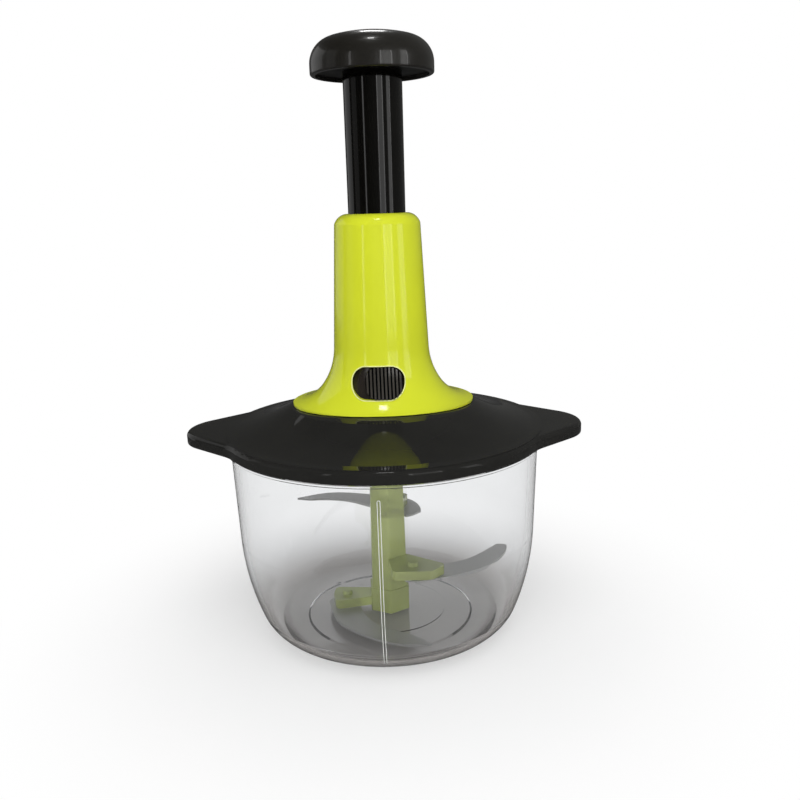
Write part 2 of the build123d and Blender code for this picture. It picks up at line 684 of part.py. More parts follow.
with BuildPart() as guide_sleeve:
    with BuildSketch(Plane.XY.offset(DOME_TOP_Z)):
        Circle(SLEEVE_OUT)
        Circle(SLEEVE_IN, mode=Mode.SUBTRACT)
    extrude(amount=SLEEVE_TOP_Z - DOME_TOP_Z)
    with BuildSketch(Plane.XY.offset(DOME_TOP_Z)):
        Circle(SLEEVE_FLANGE_R)
        Circle(SLEEVE_IN, mode=Mode.SUBTRACT)
        for screw_angle in COLUMN_SCREW_ANGLES:
            with Locations(polar(COLUMN_SCREW_R, screw_angle)):
                Circle(1.4, mode=Mode.SUBTRACT)
    extrude(amount=SLEEVE_FLANGE_H)
    # front and rear keyways, closed at the top, that stop the nut turning
    with BuildSketch(Plane.XY.offset(DOME_TOP_Z)):
        with PolarLocations((SLEEVE_IN + SLEEVE_OUT) / 2, 2, start_angle=90):
            Rectangle(4.2, KEYWAY_W)
    extrude(amount=KEYWAY_TOP_Z - DOME_TOP_Z, mode=Mode.SUBTRACT)
    # slot for the lock's tongue, from the front keyway towards +X
    with BuildSketch(Plane.XZ.rotated((0, 0, -91.5))) as tongue_slot:
        with Locations(((SLEEVE_IN + SLEEVE_OUT) / 2, LOCK_WEB_Z0 + 1.5)):
            Rectangle(4.4, 4.0)
    revolve(axis=Axis.Z, revolution_arc=27.0, mode=Mode.SUBTRACT)
finish(guide_sleeve, "guide_sleeve")

with BuildPart() as column_screws:
    with BuildSketch(Plane.XY.offset(top_plate_z - 1.8)):
        for screw_angle in COLUMN_SCREW_ANGLES:
            with Locations(polar(COLUMN_SCREW_R, screw_angle)):
                Circle(2.7)
    extrude(amount=1.8)
    with BuildSketch(Plane.XY.offset(top_plate_z)):
        for screw_angle in COLUMN_SCREW_ANGLES:
            with Locations(polar(COLUMN_SCREW_R, screw_angle)):
                Circle(1.4)
    extrude(amount=118.8 - top_plate_z)
finish(column_screws, "column_screws")

with BuildPart() as lock_retainer:
    with BuildSketch(Plane.XY.offset(LOCK_RING_Z1 + 0.1)):
        Circle(SLEEVE_OUT + 1.8)
        Circle(SLEEVE_OUT, mode=Mode.SUBTRACT)
        with Locations((0, 20)):
            Rectangle(5.0, 8.0, mode=Mode.SUBTRACT)
    extrude(amount=1.2)
finish(lock_retainer, "lock_retainer")

# ================================================================ LOCK
with BuildPart() as lock_ring:
    with BuildSketch(Plane.XY.offset(LOCK_RING_Z0)):
        Circle(SLEEVE_OUT + RUN_FIT + 2.0)
        Circle(SLEEVE_OUT + RUN_FIT, mode=Mode.SUBTRACT)
    extrude(amount=LOCK_RING_Z1 - LOCK_RING_Z0)
    band_out = FLARE_R + COLUMN_WALL + 0.4
    band_in = band_out + 1.6
    shutter = flare_band(band_out, band_in, 117.2, 135.2)
    turn = Location((0, 0, 0), (0, 0, -90 + WINDOW_TURN + LOCK_REST - LOCK_HALF))
    revolve(shutter.moved(turn), axis=Axis.Z, revolution_arc=2 * LOCK_HALF)
    # web from the ring to the shutter
    web_reach = on_arc(flare_c, band_in, flare_angle(band_in, LOCK_WEB_Z0 + 2.0))[0] + 0.6
    with BuildSketch(Plane.XZ) as web:
        with Locations(((SLEEVE_OUT + 1 + web_reach) / 2, LOCK_WEB_Z0 + 1.0)):
            Rectangle(web_reach - SLEEVE_OUT - 1, 2.0)
    revolve(web.sketch.moved(turn), axis=Axis.Z, revolution_arc=2 * LOCK_HALF)
    # tongue through the sleeve's slot
    with BuildSketch(Plane.XZ) as tongue:
        with Locations(((15.7 + SLEEVE_OUT + 0.6) / 2, LOCK_WEB_Z0 + 1.5)):
            Rectangle(SLEEVE_OUT + 0.6 - 15.7, 3.0)
    revolve(
        tongue.sketch.moved(Location((0, 0, 0), (0, 0, -77.0))),
        axis=Axis.Z, revolution_arc=11.0,
    )
finish(lock_ring, "lock_ring")

button_plane = Plane.XZ.rotated((0, 0, WINDOW_TURN + LOCK_REST))
sector = Location((0, 0, 0), (0, 0, -90 + WINDOW_TURN + LOCK_REST - 27.0))
with BuildPart() as button_ribs:
    revolve(
        flare_band(FLARE_R - 0.9, FLARE_R + 0.1, 118.0, 135.0).moved(sector), axis=Axis.Z,
        revolution_arc=54.0,
    )
    with BuildSketch(button_plane.offset(15.0)):
        with Locations((0, WINDOW_Z)):
            with GridLocations(BUTTON_W / 10.0, 1, 10, 1):
                Rectangle(BUTTON_W / 10.0 - 0.75, BUTTON_H)
            RectangleRounded(BUTTON_W, BUTTON_H, 5.4, mode=Mode.INTERSECT)
    extrude(amount=25.0, mode=Mode.INTERSECT)

with BuildPart() as lock_button:
    revolve(
        flare_band(FLARE_R - 0.2, FLARE_R + COLUMN_WALL + 0.4, 118.0, 135.0).moved(sector),
        axis=Axis.Z, revolution_arc=54.0,
    )
    with BuildSketch(button_plane.offset(15.0)):
        with Locations((0, WINDOW_Z)):
            RectangleRounded(BUTTON_W, BUTTON_H, 5.4)
    extrude(amount=25.0, mode=Mode.INTERSECT)
    add(button_ribs.part)
finish(lock_button, "lock_button")

# ================================================================ PLUNGER
crown_c = (0.0, TOTAL_H - KNOB_CROWN_R)
crown_t = asin(KNOB_CROWN_AT / KNOB_CROWN_R)
crown_end = (KNOB_CROWN_AT, crown_c[1] + KNOB_CROWN_R * cos(crown_t))
knob_round = (KNOB_R - KNOB_CROWN_AT) / (1 - sin(crown_t))
round_c = (KNOB_R - knob_round, crown_end[1] - knob_round * cos(crown_t))
crown_deg = degrees(crown_t)

with BuildPart() as knob:
    with BuildSketch(Plane.XZ):
        with BuildLine():
            inner_round = knob_round - KNOB_WALL
            inner_crown = KNOB_CROWN_R - KNOB_WALL
            boss_r = 4.0
            boss_low = TUBE_Z1
            boss_top = crown_c[1] + sqrt(inner_crown ** 2 - boss_r ** 2)
            boss_a = 90 - degrees(asin(boss_r / inner_crown))
            Line((0, boss_low), (0, TOTAL_H))
            ThreePointArc(
                (0, TOTAL_H), on_arc(crown_c, KNOB_CROWN_R, 90 - crown_deg / 2), crown_end
            )
            ThreePointArc(
                crown_end, on_arc(round_c, knob_round, (90 - crown_deg) / 2),
                (KNOB_R, round_c[1]),
            )
            Line((KNOB_R, round_c[1]), (KNOB_R, KNOB_LIP_Z + 0.9))
            ThreePointArc(
                (KNOB_R, KNOB_LIP_Z + 0.9), (KNOB_R - 0.26, KNOB_LIP_Z + 0.26),
                (KNOB_R - 0.9, KNOB_LIP_Z),
            )
            Line((KNOB_R - 0.9, KNOB_LIP_Z), (KNOB_R - KNOB_WALL, KNOB_LIP_Z))
            Line((KNOB_R - KNOB_WALL, KNOB_LIP_Z), (KNOB_R - KNOB_WALL, round_c[1]))
            ThreePointArc(
                (KNOB_R - KNOB_WALL, round_c[1]),
                on_arc(round_c, inner_round, (90 - crown_deg) / 2),
                on_arc(round_c, inner_round, 90 - crown_deg),
            )
            ThreePointArc(
                on_arc(round_c, inner_round, 90 - crown_deg),
                on_arc(crown_c, inner_crown, (90 - crown_deg + boss_a) / 2),
                (boss_r, boss_top),
            )
            Line((boss_r, boss_top), (boss_r, boss_low))
            Line((boss_r, boss_low), (0, boss_low))
        make_face()
    revolve(axis=Axis.Z)
    with BuildSketch(Plane.XY.offset(boss_low)):
        Circle(1.5)
    extrude(amount=4.6, mode=Mode.SUBTRACT)
finish(knob, "knob")

with BuildPart() as knob_base:
    base_z = KNOB_LIP_Z + 1.6
    with BuildSketch(Plane.XY.offset(base_z)):
        Circle(KNOB_R - KNOB_WALL)
        Circle(TUBE_R, mode=Mode.SUBTRACT)
    extrude(amount=2.4)
    with BuildSketch(Plane.XY.offset(base_z)):
        Circle(TUBE_R + 2.4)
        Circle(TUBE_R, mode=Mode.SUBTRACT)
    extrude(amount=8.0)
finish(knob_base, "knob_base")

with BuildPart() as plunger_tube:
    with BuildSketch(Plane.XY.offset(TUBE_Z0)):
        Circle(TUBE_R)
        Circle(TUBE_IN, mode=Mode.SUBTRACT)
    extrude(amount=TUBE_Z1 - TUBE_Z0)
    with BuildSketch(Plane.XY.offset(TUBE_Z1 - 2.5)):
        Circle(TUBE_IN + 0.5)
        Circle(1.5, mode=Mode.SUBTRACT)
    extrude(amount=2.5)
    with BuildSketch(Plane.YZ) as pin_bore:
        with Locations((0, NUT_Z0 + 12.0)):
            Circle(1.0)
    extrude(amount=20.0, both=True, mode=Mode.SUBTRACT)
finish(plunger_tube, "plunger_tube")

with BuildPart() as knob_screw:
    with BuildSketch(Plane.XY.offset(TUBE_Z1 - 4.7)):
        Circle(3.4)
    extrude(amount=2.2)
    with BuildSketch(Plane.XY.offset(TUBE_Z1 - 2.5)):
        Circle(1.5)
    extrude(amount=6.6)
finish(knob_screw, "knob_screw")


def strip_angle(z):
    """Turn of the strip's wide side at height z, degrees about +Z."""
    return -(z - STRIP_TWIST_Z) * 360.0 / STRIP_LEAD


def twisted_bar(width, thick, z0, z1):
    """Left-hand twisted rectangular bar, in step with the strip."""
    with BuildSketch(Plane.XY.offset(z0).rotated((0, 0, strip_angle(z0)))) as bar_end:
        Rectangle(width, thick)
    return Solid.extrude_linear_with_rotation(
        bar_end.sketch.faces()[0], (0, 0, z0), (0, 0, z1 - z0), strip_angle(z1) - strip_angle(z0)
    )


with BuildPart() as drive_nut:
    with BuildSketch(Plane.XY.offset(NUT_Z0)):
        Circle(NUT_R)
    extrude(amount=TUBE_Z0 - NUT_Z0)
    with BuildSketch(Plane.XY.offset(NUT_Z0)):
        Rectangle(6.0, 2 * NUT_TAB_R)
        Circle(NUT_TAB_R, mode=Mode.INTERSECT)
    extrude(amount=6.0)
    with BuildSketch(Plane.XY.offset(TUBE_Z0)):
        Circle(TUBE_IN)
    extrude(amount=8.0)
    with BuildSketch(Plane.XY.offset(NUT_Z0 + NUT_SLOT_H)):
        Circle(6.2)
    extrude(amount=20.0, mode=Mode.SUBTRACT)
    add(
        twisted_bar(
            STRIP_W + 2 * SLOT_CLEAR, STRIP_T + 2 * SLOT_CLEAR, NUT_Z0 - 0.6,
            NUT_Z0 + NUT_SLOT_H + 0.6,
        ),
        mode=Mode.SUBTRACT,
    )
    with BuildSketch(Plane.YZ):
        with Locations((0, NUT_Z0 + 12.0)):
            Circle(1.0)
    extrude(amount=20.0, both=True, mode=Mode.SUBTRACT)
finish(drive_nut, "drive_nut")

with BuildPart() as nut_pins:
    for s in (-1, 1):
        with BuildSketch(Plane.YZ.offset(s * 6.6)):
            with Locations((0, NUT_Z0 + 12.0)):
                Circle(1.0)
        extrude(amount=s * 6.2)
finish(nut_pins, "nut_pins")

# ================================================================ SPIRAL DRIVE
head_flange_z = bush_top_z + 0.05
head_top_z = head_flange_z + 1.95
hub_low_z = head_top_z + 0.2
hub_top_z = 105.0

with BuildPart() as saw_teeth:
    tooth_w = 2 * pi * 7.8 / TEETH
    for k in range(TEETH):
        tooth_plane = Plane(
            origin=(0, 0, head_top_z), x_dir=Vector(*polar(1.0, 90 + k * 360 / TEETH)),
            z_dir=Vector(*polar(1.0, k * 360 / TEETH)),
        )
        with BuildSketch(tooth_plane.offset(6.5)):
            with BuildLine():
                Polyline((0, 0), (tooth_w * 0.94, 0), (tooth_w * 0.94, TOOTH_H), close=True)
            make_face()
        extrude(amount=8.0)
    with BuildSketch(Plane.XY.offset(head_top_z)):
        Circle(HUB_FLANGE_R)
        Circle(8.4, mode=Mode.SUBTRACT)
    extrude(amount=3.0, mode=Mode.INTERSECT)

with BuildPart() as drive_head:
    with BuildSketch(Plane.XY.offset(head_flange_z)):
        Circle(HUB_FLANGE_R)
    extrude(amount=head_top_z - head_flange_z)
    add(saw_teeth.part)
    with BuildSketch(Plane.XY.offset(93.5)):
        Circle(JOURNAL_R)
    extrude(amount=head_flange_z - 93.5)
    with BuildSketch(Plane.XY.offset(80.0)):
        RegularPolygon(SOCKET_R - 0.28, side_count=6, rotation=HOLDER_TURN)
    extrude(amount=13.5)
    with BuildSketch(Plane.XY.offset(head_top_z)):
        Circle(PIN_R + RUN_FIT)
    extrude(amount=-5.2, mode=Mode.SUBTRACT)
finish(drive_head, "drive_head")

with BuildPart() as drive_hub:
    with BuildSketch(Plane.XY.offset(hub_low_z)):
        Circle(HUB_FLANGE_R)
    extrude(amount=hub_top_z - hub_low_z)
    add(saw_teeth.part.moved(Location((0, 0, 0.2), (0, 0, 1), 0.0)), mode=Mode.SUBTRACT)
    with BuildSketch(Plane.XY.offset(97.0)):
        Circle(PIN_R)
    extrude(amount=hub_low_z - 97.0)
    with BuildSketch(Plane.XY.offset(hub_top_z)):
        Circle(6.3)
    extrude(amount=STRIP_TWIST_Z - hub_top_z)
    with BuildSketch(Plane.XY.offset(hub_top_z)):
        Rectangle(STRIP_W, STRIP_T)
    extrude(amount=STRIP_TWIST_Z - hub_top_z, mode=Mode.SUBTRACT)
    with BuildSketch(Plane.XZ):
        with Locations((0, 109.0)):
            Circle(1.0)
    extrude(amount=10.0, both=True, mode=Mode.SUBTRACT)
finish(drive_hub, "drive_hub")

with BuildPart() as spiral_strip:
    with BuildSketch(Plane.XY.offset(hub_top_z)):
        Rectangle(STRIP_W, STRIP_T)
    extrude(amount=STRIP_TWIST_Z - hub_top_z)
    add(twisted_bar(STRIP_W, STRIP_T, STRIP_TWIST_Z, STRIP_TOP_Z))
    with BuildSketch(Plane.XZ):
        with Locations((0, 109.0)):
            Circle(1.0)
    extrude(amount=10.0, both=True, mode=Mode.SUBTRACT)
finish(spiral_strip, "spiral_strip")

with BuildPart() as strip_pin:
    with BuildSketch(Plane.XZ):
        with Locations((0, 109.0)):
            Circle(1.0)
    extrude(amount=5.9, both=True)
finish(strip_pin, "strip_pin")

with BuildPart() as spring_seat:
    with BuildSketch(Plane.XY.offset(hub_top_z)):
        Circle(10.5)
        Circle(6.4, mode=Mode.SUBTRACT)
    extrude(amount=0.8)
finish(spring_seat, "spring_seat")

with BuildPart() as return_spring:
    wire_r = 0.55
    coil_r = 8.0
    coil_z0 = hub_top_z + 0.8 + wire_r
    coil_z1 = NUT_Z0 - wire_r
    with BuildLine():
        Helix(pitch=(coil_z1 - coil_z0) / 6.5, height=coil_z1 - coil_z0, radius=coil_r,
              center=(0, 0, coil_z0))
    with BuildSketch(Plane.XZ):
        with Locations((coil_r, coil_z0)):
            Circle(wire_r)
    sweep(is_frenet=True)
finish(return_spring, "return_spring")
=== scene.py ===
"""Push-down food chopper: looks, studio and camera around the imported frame. Sizes in metres."""
from math import cos, pi, radians, sin, tau

import bmesh
import bpy
from mathutils import Matrix, Vector
from mathutils.bvhtree import BVHTree


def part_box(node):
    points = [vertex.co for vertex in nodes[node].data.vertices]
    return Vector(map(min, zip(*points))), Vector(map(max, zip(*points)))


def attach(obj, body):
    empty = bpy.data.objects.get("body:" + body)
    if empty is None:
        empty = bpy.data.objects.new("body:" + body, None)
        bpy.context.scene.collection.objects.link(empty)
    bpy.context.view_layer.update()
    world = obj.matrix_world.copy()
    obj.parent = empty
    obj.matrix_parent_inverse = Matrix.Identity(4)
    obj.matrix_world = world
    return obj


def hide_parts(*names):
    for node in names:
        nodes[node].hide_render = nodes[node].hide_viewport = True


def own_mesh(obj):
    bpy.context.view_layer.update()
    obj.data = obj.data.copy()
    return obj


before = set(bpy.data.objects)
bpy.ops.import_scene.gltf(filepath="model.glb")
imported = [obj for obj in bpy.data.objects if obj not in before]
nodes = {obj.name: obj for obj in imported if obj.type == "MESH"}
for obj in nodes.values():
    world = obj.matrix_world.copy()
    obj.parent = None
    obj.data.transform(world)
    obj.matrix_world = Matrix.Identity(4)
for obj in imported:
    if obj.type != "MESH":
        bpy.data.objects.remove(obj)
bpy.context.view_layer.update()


# ------------------------------------------------------------------ node helpers
def find_node(tree, kind):
    """The first node of one type."""
    return next(node for node in tree.nodes if node.type == kind)


def new_material(name):
    """A node material with its Principled shader and object coordinates."""
    mat = bpy.data.materials.new(name)
    mat.use_nodes = True
    tree = mat.node_tree
    tree.nodes.clear()
    out = tree.nodes.new("ShaderNodeOutputMaterial")
    shader = tree.nodes.new("ShaderNodeBsdfPrincipled")
    tree.links.new(shader.outputs[0], out.inputs["Surface"])
    coords = tree.nodes.new("ShaderNodeTexCoord").outputs["Object"]
    return mat, tree, shader, coords


def noise(tree, coords, scale, detail=3.0, stretch=None, rough=0.5):
    """Noise factor, optionally stretched along the axes."""
    if stretch:
        mapping = tree.nodes.new("ShaderNodeMapping")
        mapping.inputs["Scale"].default_value = stretch
        tree.links.new(coords, mapping.inputs["Vector"])
        coords = mapping.outputs[0]
    node = tree.nodes.new("ShaderNodeTexNoise")
    node.inputs["Scale"].default_value = scale
    node.inputs["Detail"].default_value = detail
    node.inputs["Roughness"].default_value = rough
    tree.links.new(coords, node.inputs["Vector"])
    return node.outputs["Fac"]


def ramp(tree, factor, stops, mode="LINEAR"):
    """Colour ramp; stops are (position, value or colour)."""
    node = tree.nodes.new("ShaderNodeValToRGB")
    node.color_ramp.interpolation = mode
    while len(node.color_ramp.elements) < len(stops):
        node.color_ramp.elements.new(0.5)
    for element, (place, value) in zip(node.color_ramp.elements, stops):
        element.position = place
        if isinstance(value, (int, float)):
            value = (value, value, value)
        element.color = (*value, 1.0)
    tree.links.new(factor, node.inputs["Fac"])
    return node.outputs["Color"]


def map_range(tree, value, start, stop, low, high, mode="LINEAR"):
    """Value mapped from start..stop to low..high."""
    node = tree.nodes.new("ShaderNodeMapRange")
    node.interpolation_type = mode
    limits = {"From Min": start, "From Max": stop, "To Min": low, "To Max": high}
    for key, limit in limits.items():
        node.inputs[key].default_value = limit
    tree.links.new(value, node.inputs["Value"])
    return node.outputs["Result"]


def math_node(tree, operation, *values):
    """Result of a maths node on one or two sockets."""
    node = tree.nodes.new("ShaderNodeMath")
    node.operation = operation
    for value, socket in zip(values, node.inputs):
        tree.links.new(value, socket)
    return node.outputs[0]


def mix_color(tree, factor, first, second):
    """Blend of two colours, each a socket or a plain colour."""
    node = tree.nodes.new("ShaderNodeMix")
    node.data_type = "RGBA"
    tree.links.new(factor, node.inputs["Factor"])
    for key, color in (("A", first), ("B", second)):
        if isinstance(color, tuple):
            node.inputs[key].default_value = (*color, 1.0)
        else:
            tree.links.new(color, node.inputs[key])
    return node.outputs["Result"]


def mix_shader(tree, factor, first, second):
    """Blend of two shaders."""
    node = tree.nodes.new("ShaderNodeMixShader")
    tree.links.new(factor, node.inputs["Fac"])
    tree.links.new(first, node.inputs[1])
    tree.links.new(second, node.inputs[2])
    return node.outputs[0]


def bump(tree, shader, height, strength, distance):
    """Bump from a height factor into the shader's normal."""
    node = tree.nodes.new("ShaderNodeBump")
    node.inputs["Strength"].default_value = strength
    node.inputs["Distance"].default_value = distance
    tree.links.new(height, node.inputs["Height"])
    tree.links.new(node.outputs[0], shader.inputs["Normal"])


def shaded(color, amount):
    """A slightly lighter or darker version of a colour."""
    return tuple(min(1.0, max(0.0, c * amount)) for c in color)


# ------------------------------------------------------------------ kinds of material
def plastic(name, color, rough=(0.08, 0.16), vary=0.06, grain=900.0, grain_depth=0.00002,
            grain_strength=0.15, coat=0.0, specular=0.5):
    """Moulded plastic: faint colour drift, smudged gloss and fine surface ripple."""
    mat, tree, shader, coords = new_material(name)
    drift = noise(tree, coords, 35.0, 4.0)
    tint = ramp(tree, drift, [(0.3, shaded(color, 1 - vary)), (0.7, shaded(color, 1 + vary))])
    tree.links.new(tint, shader.inputs["Base Color"])
    smudge = noise(tree, coords, 60.0, 5.0, (1.0, 1.0, 0.4), 0.6)
    tree.links.new(ramp(tree, smudge, [(0.35, rough[0]), (0.7, rough[1])]),
                   shader.inputs["Roughness"])
    bump(tree, shader, noise(tree, coords, grain, 2.0), grain_strength, grain_depth)
    shader.inputs["Coat Weight"].default_value = coat
    shader.inputs["Coat Roughness"].default_value = 0.03
    shader.inputs["Specular IOR Level"].default_value = specular
    shader.inputs["IOR"].default_value = 1.5
    return mat


def steel(name, color, rough, stretch=(1.0, 14.0, 1.0), metal=1.0):
    """Brushed steel; stretch sets the way the lines run."""
    mat, tree, shader, coords = new_material(name)
    lines = noise(tree, coords, 420.0, 3.0, stretch, 0.6)
    tint = ramp(tree, lines, [(0.3, shaded(color, 0.93)), (0.7, shaded(color, 1.05))])
    tree.links.new(tint, shader.inputs["Base Color"])
    shader.inputs["Metallic"].default_value = metal
    tree.links.new(ramp(tree, lines, [(0.3, rough[0]), (0.7, rough[1])]),
                   shader.inputs["Roughness"])
    bump(tree, shader, lines, 0.05, 0.00001)
    return mat


def clear_plastic(name, color, rough, shadow=(0.9, 0.9, 0.9), weight=1.0, ripple=0.02):
    """Clear moulded plastic that lets lamp light through to what it holds."""
    mat, tree, shader, coords = new_material(name)
    wear = noise(tree, coords, 45.0, 5.0, (1.0, 1.0, 0.5), 0.65)
    tree.links.new(ramp(tree, wear, [(0.4, rough[0]), (0.75, rough[1])]),
                   shader.inputs["Roughness"])
    drift = noise(tree, coords, 18.0, 3.0)
    tree.links.new(ramp(tree, drift, [(0.3, shaded(color, 0.985)), (0.7, color)]),
                   shader.inputs["Base Color"])
    shader.inputs["Transmission Weight"].default_value = weight
    shader.inputs["IOR"].default_value = 1.49
    bump(tree, shader, noise(tree, coords, 120.0, 2.0), ripple, 0.0001)
    through = tree.nodes.new("ShaderNodeBsdfTransparent")
    through.inputs["Color"].default_value = (*shadow, 1.0)
    ray = tree.nodes.new("ShaderNodeLightPath")
    surface = mix_shader(tree, ray.outputs["Is Shadow Ray"], shader.outputs[0],
                         through.outputs[0])
    tree.links.new(surface, find_node(tree, "OUTPUT_MATERIAL").inputs["Surface"])
    return mat


def painted_groove_shade(mat, turn, pitch):
    """Paint shade into the grooves between upright ribs that repeat across the piece: darker
    colour and no gloss there.
    """
    tree = mat.node_tree
    shader = find_node(tree, "BSDF_PRINCIPLED")
    across = tree.nodes.new("ShaderNodeVectorMath")
    across.operation = "DOT_PRODUCT"
    across.inputs[1].default_value = (cos(turn) * tau / pitch, sin(turn) * tau / pitch, 0.0)
    tree.links.new(find_node(tree, "TEX_COORD").outputs["Object"], across.inputs[0])
    wave = math_node(tree, "COSINE", across.outputs["Value"])
    # rib is 1 on the ribs and 0 in the grooves, where shade is painted: near-black colour and no
    # specular
    rib = map_range(tree, wave, 0.45, -0.25, 0.0, 1.0)
    base = shader.inputs["Base Color"]
    tint = mix_color(tree, rib, (0.002, 0.002, 0.002), base.links[0].from_socket)
    tree.links.new(tint, base)
    tree.links.new(rib, shader.inputs["Specular IOR Level"])
    return mat


# ------------------------------------------------------------------ materials
LIME = (0.62, 0.68, 0.026)
BUTTON_TURN = radians(2.7)      # the lock button's place round the column
BUTTON_PITCH = 0.00166          # from one of its ribs to the next
materials = {
    "bowl": clear_plastic("clear bowl plastic", (0.965, 0.97, 0.975), (0.0, 0.02)),
    # painted highlight: a pale opaque line for the bright streak down the clear bowl's front
    "rib": plastic("pale rib line plastic with painted highlight", (0.80, 0.82, 0.78), (0.1, 0.2), 0.03),
    "lime": plastic("lime gloss plastic", LIME, (0.09, 0.15), 0.02, coat=0.2,
                    grain_strength=0.08),
    # painted highlight: a paler lime lip for the lit edge of the lock window
    "lip": plastic("lime lip plastic with painted highlight", (0.86, 0.90, 0.36), (0.10, 0.16), 0.02, coat=0.25,
                   grain_strength=0.05),
    "lime_clear": clear_plastic("lime see-through plastic", (0.60, 0.67, 0.25), (0.18, 0.3),
                                shadow=(0.7, 0.76, 0.4), weight=0.45, ripple=0.1),
    "lid": plastic("black gloss plastic", (0.0155, 0.0153, 0.0142), (0.03, 0.07), 0.12,
                   grain_strength=0.03, specular=0.24),
    "tube": plastic("black tube plastic", (0.0020, 0.0018, 0.0014), (0.05, 0.10), 0.2,
                    grain_strength=0.05),
    "knob": plastic("dark knob plastic", (0.009, 0.008, 0.006), (0.26, 0.36), 0.12,
                    grain_strength=0.05, coat=0.6),
    "matt": plastic("dark matt plastic", (0.006, 0.006, 0.0055), (0.42, 0.6), 0.15,
                    grain=1600.0, grain_strength=0.4, grain_depth=0.00006, specular=0.25),
    "button": plastic("dark button plastic", (0.021, 0.017, 0.014), (0.16, 0.26), 0.15,
                      grain=1600.0, grain_strength=0.12, specular=0.9),
    # painted shade: the lock button's grooves are darkened and lose their gloss
    "ribs": painted_groove_shade(plastic("ribbed button plastic with painted groove shade", (0.040, 0.036, 0.030), (0.16, 0.26), 0.15,
                            grain=1600.0, grain_strength=0.12), BUTTON_TURN, BUTTON_PITCH),
    "white": plastic("white bearing plastic", (0.72, 0.70, 0.64), (0.3, 0.45), 0.03),
    "seal": plastic("pale seal rubber", (0.55, 0.56, 0.54), (0.5, 0.7), 0.05,
                    grain_strength=0.3),
    "blade": steel("brushed blade steel", (0.40, 0.40, 0.395), (0.36, 0.48), metal=0.45),
    "steel": steel("turned steel", (0.55, 0.55, 0.56), (0.18, 0.3), (1.0, 1.0, 10.0)),
}
looks = {
    "bowl": ("bowl",),
    "lime_clear": ("blade_holder", "blade_pegs"),
    "blade": ("blade_lower", "blade_middle", "blade_upper"),
    "lime": ("column",),
    "lid": ("lid",),
    "tube": ("plunger_tube",),
    "knob": ("knob",),
    "button": ("lock_ring",),
    "ribs": ("lock_button",),
    "seal": ("lid_seal",),
    "matt": ("lid_liner", "drive_housing", "column_bush", "guide_sleeve", "knob_base"),
    "white": ("holder_bush", "hub_bush", "drive_nut", "drive_hub", "drive_head"),
    "steel": ("bowl_pin", "liner_screws", "column_screws", "lock_retainer", "knob_screw",
              "nut_pins", "spiral_strip", "strip_pin", "spring_seat", "return_spring"),
}
for look, names in looks.items():
    for name in names:
        slots = nodes[name].data.materials
        slots.clear()
        slots.append(materials[look])


# ------------------------------------------------------------------ pieces of their own
def tube_mesh(name, path, radius, look, sides=10):
    """Round bar along a list of points, closed at both ends."""
    bm = bmesh.new()
    rings = []
    for i, point in enumerate(path):
        ahead = path[min(i + 1, len(path) - 1)] - path[max(i - 1, 0)]
        ahead.normalize()
        side = ahead.cross(Vector((0.0, 0.0, 1.0)))
        if side.length < 0.2:
            side = ahead.cross(Vector((1.0, 0.0, 0.0)))
        side.normalize()
        above = side.cross(ahead)
        rings.append([bm.verts.new(point + radius * (cos(k * tau / sides) * side
                                                     + sin(k * tau / sides) * above))
                      for k in range(sides)])
    for first, second in zip(rings, rings[1:]):
        for k in range(sides):
            m = (k + 1) % sides
            bm.faces.new((first[k], first[m], second[m], second[k]))
    bm.faces.new(rings[0][::-1])
    bm.faces.new(rings[-1])
    bmesh.ops.recalc_face_normals(bm, faces=bm.faces)
    for face in bm.faces:
        face.smooth = len(face.verts) == 4
    mesh = bpy.data.meshes.new(name)
    bm.to_mesh(mesh)
    bm.free()
    mesh.materials.append(materials[look])
    piece = bpy.data.objects.new(name, mesh)
    bpy.context.scene.collection.objects.link(piece)
    return piece


SPRING_R = 0.008
WIRE_R = 0.00052
SPRING_TURNS = 9.5
STEPS_PER_TURN = 32
END_RISE = 0.0011               # rise of the closed coil at each end
SPRING_PLAY = 0.0004            # left free under the nut


def make_spring():
    """Compression spring with a dead coil at each end, in place of the CAD's plain one."""
    low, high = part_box("return_spring")
    z0, z1 = low[2] + WIRE_R, high[2] - WIRE_R - SPRING_PLAY
    path = []
    for i in range(int(SPRING_TURNS * STEPS_PER_TURN) + 1):
        turn = i / STEPS_PER_TURN
        part = min(max((turn - 1.0) / (SPRING_TURNS - 2.0), 0.0), 1.0)
        lead = END_RISE * min(turn, 1.0)
        tail = END_RISE * min(max(turn - SPRING_TURNS + 1.0, 0.0), 1.0)
        z = z0 + lead + tail + part * (z1 - z0 - 2 * END_RISE)
        path.append(Vector((SPRING_R * cos(turn * tau), SPRING_R * sin(turn * tau), z)))
    piece = tube_mesh("coil_spring", path, WIRE_R, "steel")
    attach(piece, "lid_body")
    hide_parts("return_spring")
    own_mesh(piece)


# the bowl's outer profile, as in the CAD: leaning side, big lower arc, heel arc
SIDE_Z, SIDE_R, SIDE_LEAN = 0.05, 0.072, 0.033173
BELLY_ARC, BELLY_AT = 0.12, (-0.047934, 0.053979)
HEEL_TOP_Z, HEEL_ARC, HEEL_AT = 0.01165, 0.018, (0.04751, 0.018)


def bowl_radius(z):
    """Outer radius of the bowl at a height."""
    if z >= SIDE_Z:
        return SIDE_R + (z - SIDE_Z) * SIDE_LEAN
    if z >= HEEL_TOP_Z:
        return BELLY_AT[0] + (BELLY_ARC ** 2 - (z - BELLY_AT[1]) ** 2) ** 0.5
    return HEEL_AT[0] + (HEEL_ARC ** 2 - (z - HEEL_AT[1]) ** 2) ** 0.5


RIB_TURN = radians(-91.4)
RIB_HALF = 0.00060              # from the rib's middle to each of its beads
RIB_BEAD = 0.00016
RIB_LOW, RIB_HIGH = 0.0075, 0.0872
RIB_STEPS, RIB_TOP_STEPS = 60, 10


